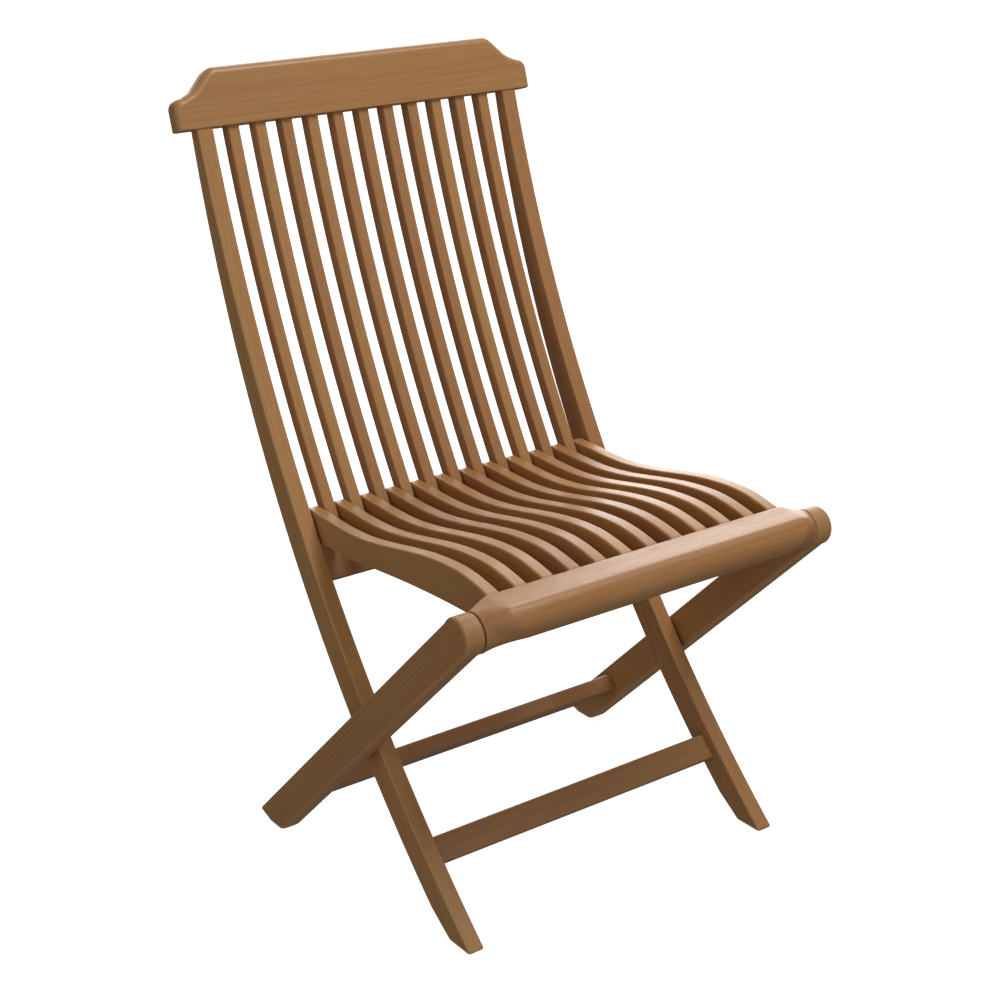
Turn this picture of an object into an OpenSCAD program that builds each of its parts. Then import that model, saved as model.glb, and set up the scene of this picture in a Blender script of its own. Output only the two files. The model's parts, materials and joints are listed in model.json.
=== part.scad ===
/* [Back frame] */
// Width over the outer faces of the two stiles
frame_w = 460; // [400:1:520]
// Width of a stile, seen from the front
stile_w = 21; // [18:1:26]
// Number of slats in the back
back_slats = 11; // [11:1:11]
// Width of a back slat
slat_w = 15; // [12:1:16]
// Thickness of a back slat, from its front face to its rear face
slat_t = 17; // [12:1:17]
// How far the back slats' front faces lie behind the stiles' front edges
slat_setback = 3.5; // [2:0.5:5]

/* [Top rail] */
// Length of the top rail
top_rail_w = 508; // [500:2:540]
// Height of the top rail at its middle
top_rail_h = 70; // [60:1:76]
// Thickness of the top rail
top_rail_t = 26; // [24:1:30]

/* [Seat] */
// Width of a seat slat
seat_slat_w = 16; // [12:1:16]
// Height of the hinge line between the front rail and the rear legs
hinge_z = 408; // [400:1:416]
// Radius of the round ends of the front rail and of the rear legs' tops
hinge_r = 23; // [20:0.5:25]
// Radius of the front rail's rounded front edge
nose_r = 22.9; // [22:0.1:24]
// Radius of the tie rod through the seat slats
rod_r = 4; // [3:0.5:5]

/* [Rear legs] */
// Thickness of a rear leg
leg_t = 24.5; // [22:0.5:26]
// Width of a rear leg, seen from the side
leg_w = 44; // [40:1:46]
// Gap between a stile and the rear leg beside it
side_gap = 4.5; // [3:0.5:6]

/* [Stretchers] */
// Height of the front stretcher's section, along the leg
stretcher_h = 32; // [26:1:36]
// Thickness of the front stretcher
stretcher_t = 18; // [14:1:22]
// Height of the rear stretcher's section, along the leg
rear_stretcher_h = 31; // [26:1:36]
// Thickness of the rear stretcher
rear_stretcher_t = 21; // [14:1:22]
// Depth of every tenon in its mortise
tenon_l = 14; // [8:1:15]

/* [Pivot hardware] */
// Radius of the crossing pins, on which the legs cross
cross_r = 4; // [3:0.5:4]
// Radius of the pins in the front rail's ends
pin_r = 5; // [4:0.5:6]
// Radial clearance where a pin turns in wood
running = 0.05; // [0.03:0.01:0.08]

/* [Hidden] */

arc_fn = 720;
round_fn = 64;

// Teak colours
teak = [0.62, 0.44, 0.29];
teak_dark = [0.52, 0.36, 0.23];
steel = [0.72, 0.72, 0.7];

// Side view: Y runs to the rear, Z up. The stile's front edge is an arc
// about front_c and its rear edge an arc about rear_c, so that it tapers.
front_c = [-1493, 1340];
front_r = 1830;
rear_c = [-1302.5, 1194];
rear_r = 1629;

// Angles below the horizontal, about front_c, where the rails begin and end
top_a = 15.4;
low_a0 = 31.24;
low_a1 = 32.56;
stretcher_a = 43.08;

// Radii, about front_c, of the faces of the slats and the lower rail
slat_r0 = front_r + slat_setback;
slat_r1 = slat_r0 + slat_t;
low_r0 = front_r + 1.5;
low_r1 = low_r0 + 24;
stretcher_r0 = front_r + 11.5;
stretcher_r1 = stretcher_r0 + stretcher_t;

// Slats stand in turn across the width: seat, back, seat, ... , seat
pitch = (frame_w - 2 * stile_w + slat_w) / (back_slats + 1);
inner_x = frame_w / 2 - stile_w;
leg_x0 = frame_w / 2 + side_gap;
leg_x1 = leg_x0 + leg_t;
rail_end_gap = 0.8;

// Depth of the blind bores in the rear legs, and thickness of the plugs over the crossing pins
blind_l = 18;
plug_t = 3.5;

rail_x1 = leg_x0 - rail_end_gap;
shoulder_x = [208, 219, 231];
shoulder_turn = 0.43;

// The two pivots in the side view, and the straight leg that joins them
hinge = [-275, hinge_z];
crossing = [-45.5, 191];
leg_l = norm(crossing - hinge);
leg_dir = (crossing - hinge) / leg_l;
leg_a = atan2(leg_dir[1], leg_dir[0]);
stretcher_at = 495;
stretcher_back = 1.5;

// The top rail leans back with the arc at its foot, its middle a little behind the slats' faces
top_rail_back = 7.5;
top_foot = front_c + (slat_r0 + top_rail_back) * [cos(top_a), -sin(top_a)];
rear_most = top_foot[0] + top_rail_t / 2 * cos(top_a) + top_rail_h * sin(top_a);
ear_x0 = top_rail_w / 2 - 60;
ear_x1 = top_rail_w / 2 - 23;
ear_r = 12.5;

// The seat
rail_z = hinge_z + 30;
rail_low = hinge_z - 13;
rail_y0 = -rear_most;
rail_y1 = -258;
nose = [rail_y0 + nose_r, rail_low + nose_r];
seat_rear = 110;
seat_low = 390.6;
slat_corner = 6;
rod_at = [77.5, 404];
seat_tenon = [10, 20];

function numbered(stem, i) = str(stem, i < 10 ? "0" : "", i);
function back_slat_x(i) = -inner_x + i * pitch - slat_w / 2;
function seat_slat_x(i) = back_slat_x(i) - pitch / 2;

// Smooth step from 0 to 1 as t goes from 0 to 1
function ease(t) = (1 - cos(180 * min(max(t, 0), 1))) / 2;

// Upper and lower edges of a seat slat, as heights along Y
function seat_top(y) =
    y > 22 ? 422.5 + 3.5 * ease((y - 22) / 88)
    : y > -195 ? 448 - 25.5 * ease((y + 195) / 217)
    : 448 - 24 * ease((-195 - y) / 144);
function seat_bottom(y) = seat_low + 14 * sin(90 * min(max((10 - y) / 227, 0), 1));

// Height of the top rail's edge at the distance x from its middle
function rail_edge(x) =
    top_rail_h - 25 * ease((x - ear_x0) / (ear_x1 - ear_x0)) - 13 * ease((x - ear_x0 - 23) / 46);

// Points on a quarter turn about c, from the angle a
function quarter(c, r, a, n = 6) = [for (i = [0 : n]) c + r * [cos(a + i * 90 / n), sin(a + i * 90 / n)]];

// Extrudes a side-view outline to the width w, about the plane x
module across(x, w) {
    translate([x - w / 2, 0, 0])
        rotate([90, 0, 90])
            linear_extrude(w)
                children();
}

// A round bar along X, between x0 and x1, at a side-view point
module rod(at, r, x0, x1, fn = round_fn) {
    translate([min(x0, x1), at[0], at[1]])
        rotate([0, 90, 0])
            cylinder(h = abs(x1 - x0), r = r, $fn = fn);
}

// Side-view strip between two radii about front_c, and two angles below level
module sector(r0, r1, a0, a1) {
    translate(front_c)
        difference() {
            intersection() {
                circle(r = r1, $fn = arc_fn);
                polygon([[0, 0], 1.2 * r1 * [cos(a1), -sin(a1)], 1.2 * r1 * [cos(a0), -sin(a0)]]);
            }
            circle(r = r0, $fn = arc_fn);
        }
}

// Side-view outline of a stile and front leg, with its foot cut to the floor
module stile_outline() {
    intersection() {
        difference() {
            translate(rear_c) circle(r = rear_r, $fn = arc_fn);
            translate(front_c) circle(r = front_r, $fn = arc_fn);
        }
        polygon([[-270, 18], [-249, 5], [-243, 0], [-204, 0], [-188, 11], [-150, 40], [400, 40],
                 front_c + 2100 * [cos(top_a), -sin(top_a)], front_c + 1700 * [cos(top_a), -sin(top_a)],
                 [-270, 700]]);
    }
}

// Side-view frame at the top rail's foot: first axis to the rear, second up the rail
module at_top_foot() {
    translate(top_foot) rotate(-top_a) children();
}

module stile_tenons(grow = 0) {
    for (side = [-1, 1])
        across(side * (frame_w - stile_w) / 2, stile_w - 8)
            at_top_foot() translate([-5, -0.01]) square([10, tenon_l + grow]);
}

module slat_tenons(width) {
    for (i = [1 : back_slats])
        back_slat_tenons(i, width);
}

module back_slat_tenons(i, width = slat_w - 6) {
    turn = tenon_l * 180 / PI / slat_r0;
    across(back_slat_x(i), width)
        union() {
            sector(slat_r0 + 3, slat_r1 - 3, top_a - turn, top_a + 0.01);
            sector(slat_r0 + 3, slat_r1 - 3, low_a0 - 0.01, low_a0 + turn);
        }
}

module low_rail_tenons() {
    for (side = [-1, 1])
        across(side * (inner_x + tenon_l / 2 - 0.01), tenon_l)
            sector(low_r0 + 5, low_r1 - 7, low_a0 + 0.2, low_a1 - 0.2);
}

module front_stretcher_tenons() {
    for (side = [-1, 1])
        across(side * (inner_x + tenon_l / 2 - 0.01), tenon_l)
            sector(stretcher_r0 + 4, stretcher_r1 - 4, stretcher_a - 0.34, stretcher_a + 0.34);
}

module stile(side) {
    color(teak)
        difference() {
            union() {
                across(side * (frame_w - stile_w) / 2, stile_w) stile_outline();
                intersection() {
                    stile_tenons();
                    translate([side * frame_w / 2, 0, 0]) cube([stile_w * 3, 4000, 4000], center = true);
                }
            }
            low_rail_tenons();
            front_stretcher_tenons();
            rod(crossing, cross_r + running, side * (inner_x - 1), side * (frame_w / 2 + 1));
        }
}

module back_slat(i) {
    color(teak)
        union() {
            across(back_slat_x(i), slat_w) sector(slat_r0, slat_r1, top_a, low_a0);
            back_slat_tenons(i);
        }
}

module top_rail_outline() {
    ear = [top_rail_w / 2 - ear_r, rail_edge(top_rail_w / 2 - ear_r) - ear_r];
    half = concat(
        [for (i = [0 : 18]) let (x = ear_x0 + (ear[0] - ear_x0) * i / 18) [x, rail_edge(x)]],
        [for (i = [1 : 6]) ear + ear_r * [sin(15 * i), cos(15 * i)]],
        [[top_rail_w / 2, 0]]);
    polygon(concat(half, [for (i = [len(half) - 1 : -1 : 0]) [-half[i][0], half[i][1]]]));
}

module top_rail() {
    color(teak)
        difference() {
            translate([0, top_foot[0], top_foot[1]])
                rotate([90 - top_a, 0, 0])
                    translate([0, 0, -top_rail_t / 2])
                        linear_extrude(top_rail_t) top_rail_outline();
            stile_tenons(0.5);
            slat_tenons(slat_w - 6);
        }
}

module lower_back_rail() {
    color(teak_dark)
        difference() {
            union() {
                across(0, 2 * inner_x) sector(low_r0, low_r1, low_a0, low_a1);
                low_rail_tenons();
            }
            slat_tenons(slat_w - 6);
        }
}

module front_stretcher() {
    half_a = stretcher_h / 2 * 180 / PI / stretcher_r0;
    color(teak_dark)
        union() {
            across(0, 2 * inner_x)
                sector(stretcher_r0, stretcher_r1, stretcher_a - half_a, stretcher_a + half_a);
            front_stretcher_tenons();
        }
}

// Side-view frame on a rear leg: first axis down the leg from the hinge, second to its rear
module along_leg() {
    translate(hinge) rotate(leg_a) children();
}

module rear_stretcher_tenons() {
    for (side = [-1, 1])
        across(side * (leg_x0 + tenon_l / 2 - 0.01), tenon_l)
            along_leg() translate([stretcher_at - 11, stretcher_back - 5]) square([22, 10]);
}

module rear_leg(side) {
    color(teak)
        difference() {
            across(side * (leg_x0 + leg_x1) / 2, leg_t)
                intersection() {
                    union() {
                        translate(hinge) circle(r = hinge_r, $fn = round_fn * 2);
                        along_leg() translate([0, -leg_w / 2]) square([700, leg_w]);
                    }
                    polygon([[-400, 5], [119, 5], [128, 0], [153, 0], [182, 9], [300, 46],
                        [300, 500], [-400, 500]]);
                }
            rod(hinge, pin_r + running, side * (leg_x0 - 1), side * (leg_x0 + blind_l + 0.5));
            rod(crossing, cross_r, side * (leg_x0 - 1), side * (leg_x0 + blind_l));
            rear_stretcher_tenons();
        }
}

module rear_stretcher() {
    color(teak_dark)
        union() {
            across(0, 2 * leg_x0)
                along_leg()
                    translate([stretcher_at - rear_stretcher_h / 2, stretcher_back - rear_stretcher_t / 2])
                        square([rear_stretcher_h, rear_stretcher_t]);
            rear_stretcher_tenons();
        }
}

// Side-view section of the front rail between its round ends: its front is an arc
// that rises from the flat bottom and meets the flat top in an edge
module rail_section() {
    steps = 24;
    edge_a = 180 - asin((rail_z - nose[1]) / nose_r);
    polygon(concat([[rail_y1, rail_low]],
        [for (i = [0 : steps]) let (a = 270 - (270 - edge_a) * i / steps) nose + nose_r * [cos(a), sin(a)]],
        [[rail_y1, rail_z]]));
}

// Reach of that section from the hinge line, in the direction a
function nose_reach(a, d = nose - hinge) =
    let (b = d * [cos(a), sin(a)]) b + sqrt(max(b * b - d * d + nose_r * nose_r, 0));
function flat_reach(a) =
    min(cos(a) > 0.01 ? (rail_y1 - hinge[0]) / cos(a) : 1000,
        sin(a) > 0.01 ? (rail_z - hinge[1]) / sin(a) : 1000,
        sin(a) < -0.01 ? (rail_low - hinge[1]) / sin(a) : 1000);
function rail_reach(a) =
    let (flat = flat_reach(a))
        hinge[0] + flat * cos(a) > nose[0] ? flat : min(flat, nose_reach(a));

// Outline between that section, at e = 0, and the round end, at e = 1
module shoulder_section(e) {
    polygon([for (a = [0 : 10 : 351])
        hinge + ((1 - e) * rail_reach(a) + e * hinge_r) * [cos(a), sin(a)]]);
}

module seat_tenons() {
    for (i = [1 : back_slats + 1])
        seat_slat_tenon(i);
}

module seat_slat_tenon(i) {
    translate([seat_slat_x(i) - seat_tenon[0] / 2, rail_y1 - tenon_l, 410])
        cube([seat_tenon[0], tenon_l + 0.01, seat_tenon[1]]);
}

module front_rail() {
    color(teak)
        difference() {
            union() {
                across(0, 2 * shoulder_x[0]) rail_section();
                for (side = [-1, 1]) {
                    rod(hinge, hinge_r, side * (shoulder_x[2] - 0.01), side * rail_x1, round_fn * 2);
                    hull() {
                        across(side * (shoulder_x[0] - 0.5), 1) rail_section();
                        across(side * (shoulder_x[1] - 0.5), 1) shoulder_section(shoulder_turn);
                    }
                    hull() {
                        across(side * (shoulder_x[1] - 0.5), 1) shoulder_section(shoulder_turn);
                        rod(hinge, hinge_r, side * (shoulder_x[2] - 1), side * shoulder_x[2], 32);
                    }
                }
            }
            seat_tenons();
            for (side = [-1, 1])
                rod(hinge, pin_r, side * (rail_x1 - 20), side * (rail_x1 + 1));
        }
}

module seat_slat(i) {
    steps = 32;
    y0 = rail_y1;
    y1 = seat_rear - slat_corner;
    upper = [for (s = [0 : steps]) let (y = y0 + (y1 - y0) * s / steps) [y, seat_top(y)]];
    lower = [for (s = [steps : -1 : 0]) let (y = y0 + (y1 - y0) * s / steps) [y, seat_bottom(y)]];
    top_corner = quarter([y1, seat_top(y1) - slat_corner], slat_corner, 0);
    low_corner = quarter([y1, seat_low + slat_corner], slat_corner, -90);
    color(teak)
        difference() {
            union() {
                across(seat_slat_x(i), seat_slat_w)
                    polygon(concat(upper, [for (s = [5 : -1 : 0]) top_corner[s]],
                        [for (s = [6 : -1 : 1]) low_corner[s]], lower));
                seat_slat_tenon(i);
            }
            rod(rod_at, rod_r, seat_slat_x(i) - seat_slat_w, seat_slat_x(i) + seat_slat_w);
        }
}

module seat_tie_rod() {
    color(teak_dark)
        rod(rod_at, rod_r, seat_slat_x(1) - seat_slat_w / 2,
            seat_slat_x(back_slats + 1) + seat_slat_w / 2);
}

module rail_pivot_pins() {
    color(steel)
        for (side = [-1, 1])
            rod(hinge, pin_r, side * (rail_x1 - 20), side * (leg_x0 + blind_l));
}

module crossing_pins() {
    color(steel)
        for (side = [-1, 1])
            rod(crossing, cross_r, side * (inner_x + plug_t + 0.3), side * (leg_x0 + blind_l));
}

module crossing_washers() {
    color(steel)
        for (side = [-1, 1])
            difference() {
                rod(crossing, 11, side * (leg_x0 - side_gap + 0.4), side * leg_x0);
                rod(crossing, cross_r, side * inner_x, side * (leg_x0 + 5));
            }
}

module pin_plugs() {
    color(teak)
        for (side = [-1, 1])
            rod(crossing, cross_r + running, side * inner_x, side * (inner_x + plug_t));
}

top_rail();
stile(-1);  // left_stile
stile(1);  // right_stile
lower_back_rail();
front_stretcher();
for (i = [1 : back_slats])
    back_slat(i);
rear_leg(-1);  // left_rear_leg
rear_leg(1);  // right_rear_leg
rear_stretcher();
front_rail();
seat_tie_rod();
for (i = [1 : back_slats + 1])
    seat_slat(i);
rail_pivot_pins();
crossing_pins();
crossing_washers();
pin_plugs();
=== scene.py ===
import json
import math
import random

import bmesh
import bpy
from mathutils import Matrix, Vector


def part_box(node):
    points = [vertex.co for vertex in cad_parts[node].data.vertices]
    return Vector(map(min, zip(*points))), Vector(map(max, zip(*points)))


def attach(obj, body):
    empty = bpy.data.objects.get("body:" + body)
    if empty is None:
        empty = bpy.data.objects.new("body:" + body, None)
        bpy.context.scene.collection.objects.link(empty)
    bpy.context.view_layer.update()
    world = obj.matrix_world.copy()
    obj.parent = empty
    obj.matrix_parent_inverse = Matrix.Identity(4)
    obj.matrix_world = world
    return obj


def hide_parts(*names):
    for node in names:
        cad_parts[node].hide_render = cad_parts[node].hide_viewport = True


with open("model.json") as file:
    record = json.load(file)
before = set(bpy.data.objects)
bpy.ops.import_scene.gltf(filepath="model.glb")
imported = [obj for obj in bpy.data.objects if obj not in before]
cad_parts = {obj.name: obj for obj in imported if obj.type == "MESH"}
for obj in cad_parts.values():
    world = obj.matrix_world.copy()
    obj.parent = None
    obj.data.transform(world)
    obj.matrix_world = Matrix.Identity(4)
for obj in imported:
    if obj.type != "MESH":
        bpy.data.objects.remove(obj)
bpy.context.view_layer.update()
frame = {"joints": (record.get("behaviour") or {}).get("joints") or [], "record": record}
scene = bpy.context.scene
rnd = random.Random(23)

# ---------------------------------------------------------------- sizes
# Lengths are in millimetres and angles in degrees; each mesh is written in metres at the end.
# A point of the side view is (y, z): Y runs to the chair's rear and Z up.
MM = 0.001

# The stile's front edge is an arc about FRONT_C and its rear edge an arc about REAR_C
FRONT_C = Vector((-1493, 1340))
FRONT_R = 1830
REAR_C = Vector((-1302.5, 1194))
REAR_R = 1629

# Radii, about FRONT_C, of the faces of the slats, the lower rail and the front stretcher
SLAT_R0, SLAT_R1 = FRONT_R + 3.5, FRONT_R + 20.5
LOW_R0, LOW_R1 = FRONT_R + 1.5, FRONT_R + 25.5
STRETCHER_R0, STRETCHER_R1 = FRONT_R + 11.5, FRONT_R + 29.5

# Angles below the horizontal, about FRONT_C, where the rails begin and end
TOP_A = 15.4
LOW_A0, LOW_A1 = 31.22, 32.56
STRETCHER_A = 43.08
STRETCHER_H = 32

# The raised ends of the lower back rail, beside the outermost seat slats: how far they rise, as an
# angle, how deep they are and how wide
END_RISE_A = 0.07
END_T = 8
END_W = 2.3

# How far a piece runs on into the one that it is joined to, as a length and as an angle
TUCK = 3
TUCK_A = math.degrees(TUCK / FRONT_R)

# Top rail: its middle plane lies TOP_RAIL_BACK behind the slats' faces. Its upper edge falls from
# the hump to the low end in two overlapping steps: how much each one falls, and where it begins and
# ends, counted from EAR_W before the rail's end
TOP_RAIL_H = 70
TOP_RAIL_T = 26
TOP_RAIL_BACK = 7.5
EAR_W = 60
EAR_DROPS = ((25, 0, 37), (13, 23, 69))
EAR_R = 12.5

# Rear legs, and their stretcher's place down the leg from the hinge line and behind its middle
HINGE_R = 23
LEG_W = 44
REAR_STRETCHER_AT = 495
REAR_STRETCHER_BACK = 1.5
REAR_STRETCHER_H = 31
REAR_STRETCHER_T = 21

# Seat. The front rail's section reaches from RAIL_LOW up to RAIL_Z and back to RAIL_Y1, and it turns
# into the round ends from about SHOULDER_X on
NOSE_R = 22.9
RAIL_LOW = 395
RAIL_Z = 438
RAIL_Y1 = -258
SHOULDER_X = 209
SEAT_LOW = 390.3
SLAT_CORNER = 6
# A height between every seat slat's lower and upper edges
SLAT_MIDDLE = 413

# Crossing pins, the wood plugs over them, and how far a plug stands out of its stile
PIN_R = 4
PLUG_T = 3.5
PLUG_PROUD = 0.15
PLUG_EDGE = 0.1
# Gap between a pin and its plug, and between a washer and the stile
PIN_GAP = 0.3
WASHER_GAP = 0.4
# Depth of the rail pivot pins in the front rail, and of the tie rod's ends below the slats' faces
PIVOT_DEPTH = 20
ROD_SUNK = 0.5

# Rounding of the edges of each kind of piece
BOARD_EDGE = 2.6
LOW_RAIL_EDGE = 0.6
LEG_EDGE = 4
BACK_SLAT_EDGE = 2.4
SLAT_REAR_EDGE = 1
SEAT_SLAT_EDGE = 2.4
SLAT_LOW_EDGE = 0.5
TOP_RAIL_EDGE = 9
TOP_RAIL_FOOT_EDGE = 1.5
ROD_EDGE = 1
FRONT_RAIL_END_EDGE = 1.2
METAL_EDGE = 0.5

X, Y, Z = Vector((1, 0, 0)), Vector((0, 1, 0)), Vector((0, 0, 1))


def x_range(node):
    low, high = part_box(node)
    return low.x / MM, high.x / MM


def joint_at(name):
    """A hinge's place in the side view."""
    joint = next(j for j in frame["joints"] if j["name"] == name)
    return Vector((joint["pos_m"][1] / MM, joint["pos_m"][2] / MM))


HINGE = joint_at("seat_hinge")
CROSSING = joint_at("legs_hinge")
LEG_DIR = (CROSSING - HINGE).normalized()
LEG_NORMAL = Vector((-LEG_DIR.y, LEG_DIR.x))
BODY = {n: b for b, names in frame["record"]["behaviour"]["bodies"].items() for n in names}
BACK_SLATS = sorted(n for n in BODY if n.startswith("back_slat_"))
SEAT_SLATS = sorted(n for n in BODY if n.startswith("seat_slat_"))
INNER_X, OUTER_X = x_range("right_stile")
LEG_X0, LEG_X1 = x_range("right_rear_leg")
TOP_RAIL_X = x_range("top_rail")[1]
RAIL_X = x_range("front_rail")[1]
SEAT_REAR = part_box("seat_slat_01")[1].y / MM
NOSE = Vector((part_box("front_rail")[0].y / MM + NOSE_R, RAIL_LOW + NOSE_R))


# ---------------------------------------------------------------- outlines
def ray(angle):
    """Unit vector of the side view, that many degrees below the horizontal."""
    return Vector((math.cos(math.radians(angle)), -math.sin(math.radians(angle))))


def arc(centre, radius, a0, a1, steps):
    turn = [math.radians(a0 + (a1 - a0) * i / steps) for i in range(steps + 1)]
    return [centre + radius * Vector((math.cos(a), math.sin(a))) for a in turn]


def strip(r0, r1, a0, a1, steps):
    """Outline between two radii about FRONT_C, and two angles below the horizontal."""
    return arc(FRONT_C, r0, -a0, -a1, steps) + arc(FRONT_C, r1, -a1, -a0, steps)


def clip(points, *cuts):
    """What is left of an outline on the left-hand side of each line from a to b."""
    for a, b in cuts:
        along = Vector(b) - Vector(a)
        side = [along.x * (p.y - a[1]) - along.y * (p.x - a[0]) for p in points]
        kept = []
        for i, p in enumerate(points):
            j = (i + 1) % len(points)
            if side[i] >= 0:
                kept.append(p)
            if side[i] * side[j] < 0:
                kept.append(p.lerp(points[j], side[i] / (side[i] - side[j])))
        points = kept
    return points


def ease(t):
    """Smooth step from 0 to 1 as t goes from 0 to 1."""
    return (1 - math.cos(math.pi * min(max(t, 0), 1))) / 2


def stile_outline():
    """Side view of a stile: cut off inside the top rail, with its foot cut to the floor."""
    front = arc(FRONT_C, FRONT_R, -TOP_A + 0.5, -49, 110)
    rear = arc(REAR_C, REAR_R, -50, -11, 110)
    top = FRONT_C + 2000 * ray(TOP_A - TUCK_A)
    return clip(front + rear, (top, FRONT_C), ((-400, 0), (400, 0)), ((-270, 18), (-249, 5)),
                ((-249, 5), (-243, 0)), ((-204, 0), (-188, 11)))


def leg_outline():
    """Side view of a rear leg: a straight bar with a round top, and its foot cut to the floor."""
    reach = math.degrees(math.asin(LEG_W / 2 / HINGE_R))
    lean = math.degrees(math.atan2(LEG_DIR.y, LEG_DIR.x))
    top = arc(HINGE, HINGE_R, lean + reach, lean + 360 - reach, 64)
    foot = [HINGE + 700 * LEG_DIR + side * LEG_W / 2 * LEG_NORMAL for side in (-1, 1)]
    return clip(top + foot, ((-400, 0), (400, 0)), ((119, 5), (128, 0)), ((153, 0), (182, 9)))


def rear_stretcher_outline():
    half_h, half_t = REAR_STRETCHER_H / 2, REAR_STRETCHER_T / 2
    corners = [(-half_h, -half_t), (half_h, -half_t), (half_h, half_t), (-half_h, half_t)]
    return [HINGE + (REAR_STRETCHER_AT + a) * LEG_DIR + (REAR_STRETCHER_BACK + b) * LEG_NORMAL
            for a, b in corners]


def seat_top(y):
    """Height of a seat slat's upper edge: a hollow for the sitter and a crest over the thighs."""
    if y > 22:
        return 422.5 + 3.5 * ease((y - 22) / 88)
    if y > -195:
        return 448 - 25.5 * ease((y + 195) / 217)
    return 448 - 24 * ease((-195 - y) / 144)


def seat_bottom(y):
    return SEAT_LOW + 14 * math.sin(math.pi / 2 * min(max((10 - y) / 227, 0), 1))


def seat_slat_outline():
    """Side view of a seat slat, from inside the front rail to its rounded rear end."""
    y0, y1, steps = RAIL_Y1 - TUCK, SEAT_REAR - SLAT_CORNER, 64
    ys = [y0 + (y1 - y0) * i / steps for i in range(steps + 1)]
    low = arc(Vector((y1, SEAT_LOW + SLAT_CORNER)), SLAT_CORNER, -90, 0, 6)
    high = arc(Vector((y1, seat_top(y1) - SLAT_CORNER)), SLAT_CORNER, 0, 90, 6)
    return ([Vector((y, seat_bottom(y))) for y in ys[:-1]] + low + high
            + [Vector((y, seat_top(y))) for y in ys[-2::-1]])


def top_rail_edge(x):
    """Height of the top rail's upper edge at the distance x from its middle."""
    ear = x - (TOP_RAIL_X - EAR_W)
    return TOP_RAIL_H - sum(drop * ease((ear - a) / (b - a)) for drop, a, b in EAR_DROPS)


def top_rail_outline():
    """Front view of the top rail, from its foot: low ends under a long hump."""
    corner = TOP_RAIL_X - EAR_R
    half = arc(Vector((corner, top_rail_edge(corner) - EAR_R)), EAR_R, 0, 90, 8)
    steps = 28
    for i in range(1, steps + 1):
        x = corner - i * (corner - TOP_RAIL_X + EAR_W) / steps
        half.append(Vector((x, top_rail_edge(x))))
    return ([Vector((-TOP_RAIL_X, 0)), Vector((TOP_RAIL_X, 0))] + half
            + [Vector((-p.x, p.y)) for p in half[::-1]])


def nose_reach(direction):
    """Distance from the hinge line to the front rail's rounded front, in a direction."""
    b = (NOSE - HINGE).dot(direction)
    return b + math.sqrt(max(b * b - (NOSE - HINGE).length_squared + NOSE_R ** 2, 0))


def soft_least(lengths, power):
    """The least of some lengths, a little less where two are alike, which rounds their edge off."""
    return sum(length ** -power for length in lengths) ** (-1 / power)


def rail_reach(direction):
    """Distance from the hinge line to the front rail's surface between its shoulders.

    Its top, rear and bottom are flat, and its front is an arc that meets the top in an edge.
    """
    flats = []
    for wall, part in ((RAIL_Y1 - HINGE.x, direction.x), (RAIL_Z - HINGE.y, direction.y),
                       (HINGE.y - RAIL_LOW, -direction.y)):
        if part > 0.001:
            flats.append(wall / part)
    flat = soft_least(flats, 14) if flats else math.inf
    front = nose_reach(direction)
    if HINGE.x + front * direction.x < NOSE.x and direction.x < 0:
        return soft_least([front, flat], 40) if direction.y > 0 else front
    return flat


# ---------------------------------------------------------------- mesh building
def side_view(p, depth):
    """Places a point of the side view at the plane x = depth."""
    return Vector((depth, p.x, p.y))


def slab(outline, depth0, depth1, place=side_view, bm=None):
    """A board: an outline carried from one depth to another."""
    bm = bm or bmesh.new()
    ends = [[bm.verts.new(place(p, d)) for p in outline] for d in (depth0, depth1)]
    bm.faces.new(ends[0][::-1])
    bm.faces.new(ends[1])
    for i in range(len(outline)):
        j = (i + 1) % len(outline)
        bm.faces.new((ends[0][i], ends[0][j], ends[1][j], ends[1][i]))
    return bm


def skin(rings, loop=False, bm=None):
    """Closed surface through rings of points. A loop joins the last ring to the first."""
    bm = bm or bmesh.new()
    rows = [[bm.verts.new(p) for p in ring] for ring in rings]
    count = len(rows[0])
    for k in range(len(rows) if loop else len(rows) - 1):
        a, b = rows[k], rows[(k + 1) % len(rows)]
        for i in range(count):
            j = (i + 1) % count
            bm.faces.new((a[i], a[j], b[j], b[i]))
    if not loop:
        bm.faces.new(rows[0][::-1])
        bm.faces.new(rows[-1])
    return bm


def turned(at, profile, loop=False, bm=None, count=48):
    """A round piece about the line through `at` along X. The profile is (x, radius) points."""
    turns = [2 * math.pi * i / count for i in range(count)]
    circle = [Vector((math.cos(a), math.sin(a))) for a in turns]
    return skin([[side_view(at + r * c, x) for c in circle] for x, r in profile], loop, bm)


def bar(at, radius, x0, x1, edge, bm=None):
    """A round bar along X with rounded ends."""
    step = math.copysign(edge, x1 - x0)
    turns = [math.radians(a) for a in (0, 30, 60, 90)]
    ends = [(1 - math.sin(a), 1 - math.cos(a)) for a in turns]
    profile = [(x0 + step * s, radius - edge * c) for s, c in ends[::-1]]
    profile += [(x1 - step * s, radius - edge * c) for s, c in ends]
    return turned(at, profile, bm=bm)


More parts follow.
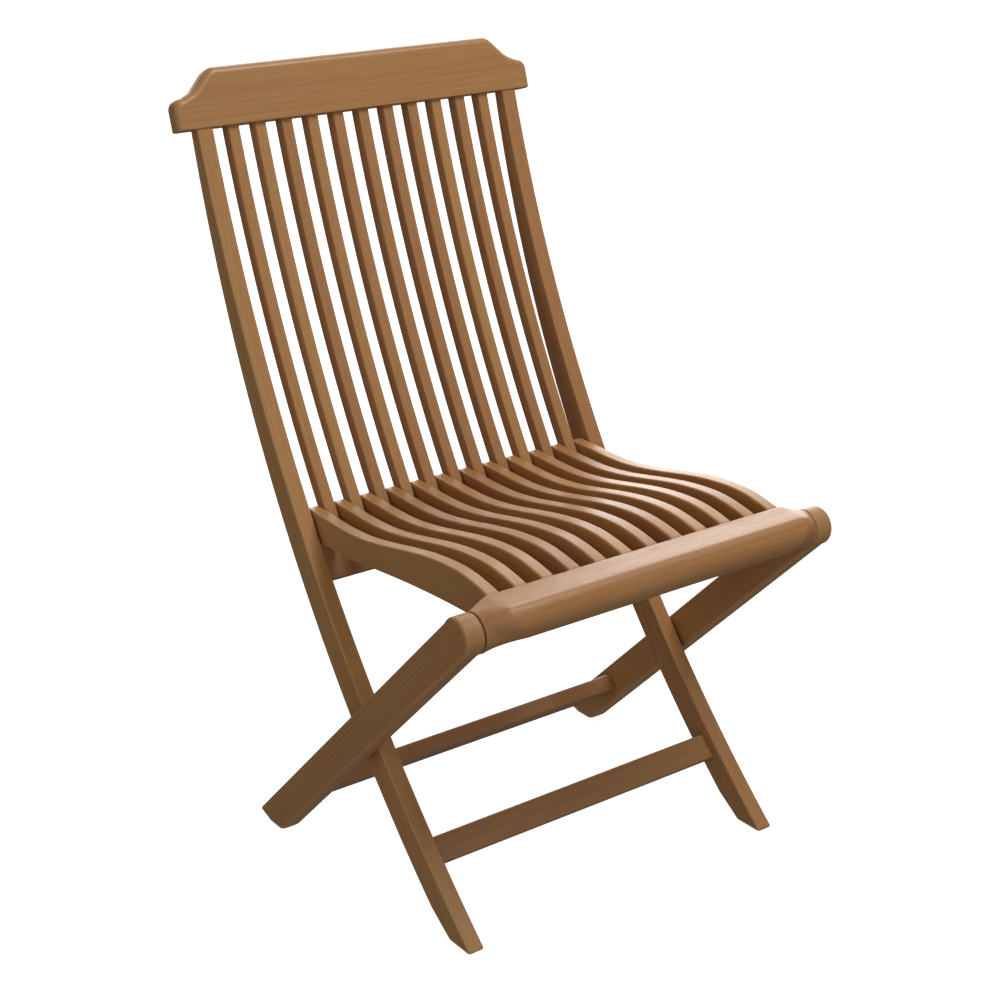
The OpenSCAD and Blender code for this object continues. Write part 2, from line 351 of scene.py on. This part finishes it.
def round_edges(bm, radius, segments=4, chosen=None, sharp=22):
    """Rounds the sharp edges, or the chosen ones of them, and marks the rounding, which the wood
    lightens as worn edges and as a painted edge highlight.
    """
    bmesh.ops.remove_doubles(bm, verts=bm.verts, dist=0.02)
    bmesh.ops.recalc_face_normals(bm, faces=bm.faces)
    edges = [e for e in bm.edges if e.calc_face_angle(0) > math.radians(sharp)]
    if chosen:
        edges = [e for e in edges if chosen(e)]
    made = bmesh.ops.bevel(bm, geom=edges, offset=radius, segments=segments, profile=0.5,
                           affect="EDGES", clamp_overlap=False)
    rounded = set(made["faces"])
    wear_and_edge_highlight = bm.verts.layers.float.get("wear_and_edge_highlight") or bm.verts.layers.float.new("wear_and_edge_highlight")
    for v in bm.verts:
        if all(f in rounded for f in v.link_faces):
            v[wear_and_edge_highlight] = 1
    return bm


def finish_piece(node, bm, along=Z, kind="teak"):
    """Turns a mesh into the piece that stands for a CAD node, with its grain along a direction."""
    bmesh.ops.recalc_face_normals(bm, faces=bm.faces)
    bm.normal_update()
    along = along.normalized()
    across = X if abs(along.x) < 0.5 else Y
    third = along.cross(across)
    # Where the piece was cut from its log: the pith lies a few centimetres outside it
    shift = Vector((rnd.uniform(-3, 3), rnd.choice((-1, 1)) * rnd.uniform(0.03, 0.09),
                    rnd.uniform(-0.06, 0.06)))
    middle = sum((v.co for v in bm.verts), Vector()) / len(bm.verts) * MM
    tint = rnd.uniform(-1, 1)
    grain, ends, tints = [], [], []
    for v in bm.verts:
        p = v.co * MM - middle
        grain += [p.dot(along) + shift.x, p.dot(across) + shift.y, p.dot(third) + shift.z]
        ends.append(max(abs(v.normal.dot(along)) - 0.35, 0) / 0.65)
        tints.append(tint)
    if not bm.verts.layers.float.get("wear_and_edge_highlight"):
        bm.verts.layers.float.new("wear_and_edge_highlight")
    bmesh.ops.scale(bm, vec=(MM, MM, MM), verts=bm.verts)
    mesh = bpy.data.meshes.new(node + "_shaped")
    bm.to_mesh(mesh)
    bm.free()
    mesh.attributes.new("grain", "FLOAT_VECTOR", "POINT").data.foreach_set("vector", grain)
    mesh.attributes.new("end_grain", "FLOAT", "POINT").data.foreach_set("value", ends)
    mesh.attributes.new("tint", "FLOAT", "POINT").data.foreach_set("value", tints)
    mesh.polygons.foreach_set("use_smooth", [True] * len(mesh.polygons))
    mesh.materials.append(MATERIALS[kind])
    piece = bpy.data.objects.new(node + "_shaped", mesh)
    scene.collection.objects.link(piece)
    normals = piece.modifiers.new("flat faces stay flat", "WEIGHTED_NORMAL")
    normals.weight = 80
    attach(piece, BODY[node])
    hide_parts(node)
    return piece


# ---------------------------------------------------------------- materials
class Tree:
    """Short calls for building one material's nodes."""

    def __init__(self, name):
        self.material = bpy.data.materials.new(name)
        self.material.use_nodes = True
        self.tree = self.material.node_tree
        self.shader = self.tree.nodes["Principled BSDF"]

    def add(self, kind, inputs, output=0, **settings):
        """Adds a node, fills its inputs in by number and returns one of its outputs."""
        node = self.tree.nodes.new("ShaderNode" + kind)
        for key, value in settings.items():
            setattr(node, key, value)
        for key, value in inputs.items():
            self.put(value, node.inputs[key])
        return node.outputs[output]

    def put(self, value, socket):
        if isinstance(value, bpy.types.NodeSocket):
            self.tree.links.new(value, socket)
        else:
            socket.default_value = value

    def attribute(self, name, output="Fac"):
        return self.add("Attribute", {}, output, attribute_name=name)

    def math(self, operation, a, b=0.0):
        return self.add("Math", {0: a, 1: b}, operation=operation)

    def noise(self, where, scale, detail=2.0, roughness=0.5):
        """Noise stretched by a different scale along each axis."""
        place = self.add("VectorMath", {0: where, 1: scale}, operation="MULTIPLY")
        return self.add("TexNoise", {"Vector": place, "Scale": 1.0, "Detail": detail,
                                     "Roughness": roughness})

    def remap(self, value, low, high, to_low=0.0, to_high=1.0):
        return self.add("MapRange", {0: value, 1: low, 2: high, 3: to_low, 4: to_high},
                        interpolation_type="SMOOTHSTEP")

    def mix(self, factor, a, b, blend="MIX"):
        return self.add("Mix", {0: factor, 6: a, 7: b}, 2, data_type="RGBA", blend_type=blend)

    def bump(self, height, strength, distance):
        normal = self.add("Bump", {"Height": height, "Strength": strength, "Distance": distance})
        self.put(normal, self.shader.inputs["Normal"])


def shade(colour, factor):
    return (*[c * factor for c in colour], 1)


def wood(name, colour):
    """Oiled teak: growth rings, cloudy variation, fibres, open pores, end grain, and rounded edges
    lightened partly as wear and partly as a painted highlight.
    """
    t = Tree(name)
    where = t.attribute("grain", "Vector")
    slow = t.noise(where, (2.4, 30, 30), 2.0)
    cloud = t.noise(where, (5, 55, 55), 3.0, 0.6)
    fibre = t.noise(where, (16, 640, 640), 3.0, 0.6)
    pore = t.remap(t.noise(where, (60, 1500, 1500), 1.0), 0.6, 0.72)

    # Rings about the pith, 5 mm apart, drawn out of true by the slow noise
    cross_section = t.add("VectorMath", {0: where, 1: (0, 1, 1)}, operation="MULTIPLY")
    radius = t.add("VectorMath", {0: cross_section}, 1, operation="LENGTH")
    drift = t.math("MULTIPLY", slow, 16.0)
    phase = t.math("ADD", t.math("MULTIPLY", radius, 2 * math.pi / 0.005), drift)
    ring = t.remap(t.math("SINE", phase), -0.4, 1.0)

    tone = t.mix(t.math("MULTIPLY", ring, 0.3), shade(colour, 1.04), shade(colour, 0.76))
    red = (colour[0] * 0.95, colour[1] * 0.8, colour[2] * 0.72, 1)
    tone = t.mix(t.remap(cloud, 0.38, 0.68, 0.0, 0.5), tone, red)
    tone = t.mix(t.math("MULTIPLY", pore, 0.3), tone, shade(colour, 0.45))
    end_tone = (colour[0] * 0.85, colour[1] * 0.92, colour[2] * 1.15, 1)
    tone = t.mix(t.math("MULTIPLY", t.attribute("end_grain"), 0.55), tone, end_tone)
    # The rounded edges are lightened and paled: partly rubbed wear, partly a painted highlight along
    # the edges
    rubbed_and_highlit = t.math("MULTIPLY", t.attribute("wear_and_edge_highlight"), t.remap(cloud, 0.3, 0.65, 0.05, 0.4))
    tone = t.mix(rubbed_and_highlit, tone, (colour[0] * 1.25, colour[1] * 1.3, colour[2] * 1.5, 1))
    tint = t.attribute("tint")
    value = t.math("ADD", t.remap(fibre, 0.25, 0.75, 0.92, 1.06), t.math("MULTIPLY", tint, 0.07))
    hue = t.math("ADD", t.math("MULTIPLY", tint, 0.004), 0.5)
    tone = t.add("HueSaturation", {"Hue": hue, "Value": value, "Color": tone})

    t.put(tone, t.shader.inputs["Base Color"])
    gloss = t.math("ADD", t.remap(cloud, 0.3, 0.7, 0.3, 0.4), t.math("MULTIPLY", pore, 0.2))
    t.put(t.math("ADD", gloss, t.math("MULTIPLY", t.attribute("end_grain"), 0.15)),
          t.shader.inputs["Roughness"])
    t.shader.inputs["IOR"].default_value = 1.47
    height = t.math("SUBTRACT", t.math("MULTIPLY", fibre, 0.5), t.math("MULTIPLY", pore, 0.7))
    t.bump(t.math("ADD", height, t.math("MULTIPLY", ring, 0.15)), 0.35, 0.0002)
    return t.material


def steel(name, colour):
    """Dull steel with fine scratches and a few darker patches."""
    t = Tree(name)
    where = t.attribute("grain", "Vector")
    scratch = t.noise(where, (2500, 150, 150), 2.0)
    patch = t.noise(where, (220, 220, 220), 3.0, 0.6)
    t.put(t.mix(t.remap(patch, 0.35, 0.7), shade(colour, 1.0), shade(colour, 0.62)),
          t.shader.inputs["Base Color"])
    t.put(t.remap(scratch, 0.25, 0.75, 0.28, 0.5), t.shader.inputs["Roughness"])
    t.shader.inputs["Metallic"].default_value = 1
    t.bump(scratch, 0.3, 0.00005)
    return t.material


MATERIALS = {
    "teak": wood("teak", (0.45, 0.222, 0.078)),
    # A darker copy of the teak with painted shade, for the stretchers, the lower back rail and the
    # tie rod, which lie low and under the seat
    "teak_dark": wood("teak_dark", (0.36, 0.175, 0.063)),
    "steel": steel("steel", (0.6, 0.59, 0.57)),
}


# ---------------------------------------------------------------- pieces
def make_top_rail():
    up, back = ray(TOP_A - 90), ray(TOP_A)
    foot = FRONT_C + (SLAT_R0 + TOP_RAIL_BACK) * back

    def place(p, depth):
        return side_view(foot + p.y * up + depth * back, p.x)

    bm = slab(top_rail_outline(), -TOP_RAIL_T / 2, TOP_RAIL_T / 2, place)
    lift = side_view(up, 0)

    def above_foot(edge):
        faces_down = any(f.normal.dot(lift) < -0.9 for f in edge.link_faces)
        return not faces_down

    round_edges(bm, TOP_RAIL_EDGE, 7, above_foot)
    round_edges(bm, TOP_RAIL_FOOT_EDGE, 2, lambda e: not above_foot(e))
    finish_piece("top_rail", bm, X)


def make_front_rail():
    count = 160
    turns = [2 * math.pi * i / count for i in range(count)]
    directions = [Vector((math.cos(a), math.sin(a))) for a in turns]
    section = [rail_reach(d) for d in directions]
    edge, steps, taper = FRONT_RAIL_END_EDGE, 26, 30
    end = RAIL_X - edge

    def end_share(x, direction):
        """How far the section has turned into the round end: soonest below, last at the crease."""
        # From 0 at the rear to 1 at the front, and from 0 below to 1 above
        front = max(-direction.x, 0)
        high = (1 + min(max(2 * direction.y, -1), 1)) / 2
        start = SHOULDER_X - taper * front * (1 - 0.85 * high)
        t = min(max((abs(x) - start) / (end - start), 0), 1)
        return t ** (1 + 0.6 * front * high)

    half = [(SHOULDER_X - taper) * i / 4 for i in range(1, 5)]
    half += [half[-1] + (end - half[-1]) * i / steps for i in range(1, steps + 1)]
    # Each station is a place along X and how far the end's rounding cuts the section back there
    stations = [(x, 0) for x in half]
    for turn in (math.radians(a) for a in (30, 60, 90)):
        stations.append((end + edge * math.sin(turn), edge * (1 - math.cos(turn))))
    stations = [(-x, cut) for x, cut in stations[::-1]] + [(0, 0)] + stations
    rings = []
    for x, cut in stations:
        ring = []
        for reach, d in zip(section, directions):
            e = end_share(x, d)
            ring.append(side_view(HINGE + ((1 - e) * reach + e * HINGE_R - cut) * d, x))
        rings.append(ring)
    finish_piece("front_rail", skin(rings), X)


def make_back_frame():
    lean = side_view(ray(90 + (TOP_A + LOW_A1) / 2), 0)
    for side, node in ((-1, "left_stile"), (1, "right_stile")):
        bm = slab(stile_outline(), side * INNER_X, side * OUTER_X)
        finish_piece(node, round_edges(bm, BOARD_EDGE), lean)
    middle_r = (SLAT_R0 + SLAT_R1) / 2

    def faces_front(edge):
        return all((Vector((v.co.y, v.co.z)) - FRONT_C).length < middle_r for v in edge.verts)

    for node in BACK_SLATS:
        bm = slab(strip(SLAT_R0, SLAT_R1, TOP_A - TUCK_A, LOW_A0 + TUCK_A, 48), *x_range(node))
        round_edges(bm, BACK_SLAT_EDGE, 4, faces_front)
        finish_piece(node, round_edges(bm, SLAT_REAR_EDGE, 3, lambda e: not faces_front(e)), lean)
    bm = slab(strip(LOW_R0, LOW_R1, LOW_A0, LOW_A1, 4), -INNER_X - TUCK, INNER_X + TUCK)
    round_edges(bm, LOW_RAIL_EDGE)
    for side in (-1, 1):
        slab(strip(LOW_R0 + 0.3, LOW_R0 + END_T, LOW_A0 - END_RISE_A, LOW_A0 + TUCK_A, 2),
             side * (INNER_X - END_W), side * (INNER_X + TUCK), bm=bm)
    finish_piece("lower_back_rail", bm, X, "teak_dark")
    half_a = math.degrees(STRETCHER_H / 2 / STRETCHER_R0)
    bm = slab(strip(STRETCHER_R0, STRETCHER_R1, STRETCHER_A - half_a, STRETCHER_A + half_a, 4),
              -INNER_X - TUCK, INNER_X + TUCK)
    finish_piece("front_stretcher", round_edges(bm, BOARD_EDGE), X, "teak_dark")


def make_rear_legs():
    for side, node in ((-1, "left_rear_leg"), (1, "right_rear_leg")):
        bm = slab(leg_outline(), side * LEG_X0, side * LEG_X1)
        finish_piece(node, round_edges(bm, LEG_EDGE), side_view(LEG_DIR, 0))
    bm = slab(rear_stretcher_outline(), -LEG_X0 - TUCK, LEG_X0 + TUCK)
    finish_piece("rear_stretcher", round_edges(bm, BOARD_EDGE), X, "teak_dark")


def make_seat():
    for node in SEAT_SLATS:
        bm = slab(seat_slat_outline(), *x_range(node))
        round_edges(bm, SEAT_SLAT_EDGE, 4, lambda e: min(v.co.z for v in e.verts) > SLAT_MIDDLE)
        round_edges(bm, SLAT_LOW_EDGE, 2, lambda e: max(v.co.z for v in e.verts) < SLAT_MIDDLE)
        finish_piece(node, bm, Y)
    low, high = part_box("seat_tie_rod")
    centre = (low + high) / 2 / MM
    radius = (high.z - low.z) / 2 / MM
    x0, x1 = low.x / MM + ROD_SUNK, high.x / MM - ROD_SUNK
    bm = bar(Vector((centre.y, centre.z)), radius, x0, x1, ROD_EDGE)
    finish_piece("seat_tie_rod", bm, X, "teak_dark")


def make_pivots():
    """Both pins of a pair are one piece, as in the CAD model."""
    for node, at in (("rail_pivot_pins", HINGE), ("crossing_pins", CROSSING)):
        low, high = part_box(node)
        radius, outer = (high.z - low.z) / 2 / MM, high.x / MM
        inner = RAIL_X - PIVOT_DEPTH if at == HINGE else INNER_X + PLUG_T + PIN_GAP
        bm = bmesh.new()
        for side in (-1, 1):
            bar(at, radius, side * inner, side * outer, METAL_EDGE, bm)
        finish_piece(node, bm, X, "steel")
    bm = bmesh.new()
    outer_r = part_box("crossing_washers")[1].z / MM - CROSSING.y
    for side in (-1, 1):
        x0, x1 = side * (OUTER_X + WASHER_GAP), side * LEG_X0
        turned(CROSSING, [(x0, PIN_R), (x0, outer_r), (x1, outer_r), (x1, PIN_R)], True, bm)
    finish_piece("crossing_washers", round_edges(bm, METAL_EDGE, 2), X, "steel")
    bm = bmesh.new()
    for side in (-1, 1):
        bar(CROSSING, PIN_R, side * (INNER_X - PLUG_PROUD), side * (INNER_X + PLUG_T), PLUG_EDGE, bm)
    finish_piece("pin_plugs", bm, X)


make_top_rail()
make_front_rail()
make_back_frame()
make_rear_legs()
make_seat()
make_pivots()


# ---------------------------------------------------------------- camera
CAMERA_AZIMUTH, CAMERA_ELEVATION, CAMERA_ROLL = -35.5606, 20.5464, -1.1377
CAMERA_DISTANCE = 2.3023
CAMERA_TARGET = Vector((0, 0.002, 0.4179))
FOCAL_RATIO = 1.91483


def make_camera():
    azimuth, elevation, roll = (
        math.radians(a) for a in (CAMERA_AZIMUTH, CAMERA_ELEVATION, CAMERA_ROLL))
    level = Vector((math.sin(azimuth), -math.cos(azimuth), 0))
    back = level * math.cos(elevation) + Z * math.sin(elevation)
    right = Z.cross(back).normalized()
    up = back.cross(right)
    turned_right = math.cos(roll) * right + math.sin(roll) * up
    turned_up = math.cos(roll) * up - math.sin(roll) * right
    data = bpy.data.cameras.new("camera")
    data.sensor_width = 36
    data.lens = data.sensor_width * FOCAL_RATIO
    camera = bpy.data.objects.new("camera", data)
    scene.collection.objects.link(camera)
    place = Matrix((turned_right, turned_up, back)).transposed().to_4x4()
    place.translation = CAMERA_TARGET + CAMERA_DISTANCE * back
    camera.matrix_world = place
    scene.camera = camera
    return back


# ---------------------------------------------------------------- floor and light
def make_light(name, place, target, size, watts):
    data = bpy.data.lights.new(name, "AREA")
    data.shape = "DISK"
    data.size = size
    data.energy = watts
    light = bpy.data.objects.new(name, data)
    scene.collection.objects.link(light)
    place = Vector(place)
    turn = (place - Vector(target)).to_track_quat("Z", "Y").to_matrix().to_4x4()
    light.matrix_world = Matrix.Translation(place) @ turn
    light.visible_camera = False
    return light


def make_floor():
    """A plain pale floor. It throws no light up at the object, as a dark stand would not."""
    mesh = bpy.data.meshes.new("floor")
    radius, count = 24, 64
    turns = [2 * math.pi * i / count for i in range(count)]
    rim = [(radius * math.cos(a), radius * math.sin(a), 0) for a in turns]
    mesh.from_pydata(rim, [], [tuple(range(count))])
    floor = bpy.data.objects.new("floor", mesh)
    scene.collection.objects.link(floor)
    t = Tree("floor")
    t.shader.inputs["Base Color"].default_value = (0.6, 0.6, 0.6, 1)
    t.shader.inputs["Roughness"].default_value = 0.9
    t.shader.inputs["Emission Color"].default_value = (1, 1, 1, 1)
    t.shader.inputs["Emission Strength"].default_value = 0.9
    mesh.materials.append(t.material)
    floor.visible_diffuse = False
    floor.visible_glossy = False


def make_world(away):
    """A dim room, darker below, with a bright wall behind the object for its tops to reflect."""
    world = bpy.data.worlds.new("studio")
    scene.world = world
    world.use_nodes = True
    tree = world.node_tree
    where = tree.nodes.new("ShaderNodeTexCoord").outputs["Generated"]

    def part(direction, low, high, weak, strong):
        """Brightness that goes from weak to strong as the view turns toward a direction."""
        dot = tree.nodes.new("ShaderNodeVectorMath")
        dot.operation = "DOT_PRODUCT"
        dot.inputs[1].default_value = direction
        tree.links.new(where, dot.inputs[0])
        share = tree.nodes.new("ShaderNodeMapRange")
        share.interpolation_type = "SMOOTHSTEP"
        for number, value in enumerate((low, high, weak, strong), 1):
            share.inputs[number].default_value = value
        tree.links.new(dot.outputs["Value"], share.inputs[0])
        return share.outputs[0]

    def add(a, b):
        total = tree.nodes.new("ShaderNodeMath")
        tree.links.new(a, total.inputs[0])
        tree.links.new(b, total.inputs[1])
        return total.outputs[0]

    room = part(Z, -0.3, 0.3, 0.1, 0.18)
    front = part(Vector((-0.35, -0.9, -0.2)).normalized(), 0.1, 0.9, 0.0, 0.3)
    wall = part(away, 0.78, 0.95, 0.0, 3.2)
    background = tree.nodes["Background"]
    background.inputs["Color"].default_value = (1, 1, 1, 1)
    tree.links.new(add(add(room, front), wall), background.inputs["Strength"])


away = make_camera() * -1
make_world(Vector((away.x, away.y, -away.z)))
make_floor()
make_light("key", (0.9, -1.2, 3.2), (0, 0, 0.5), 1.5, 48)
make_light("side fill", (-2.5, -0.6, 1.3), (0, 0, 0.5), 1.6, 5)
scene.view_settings.view_transform = "Standard"
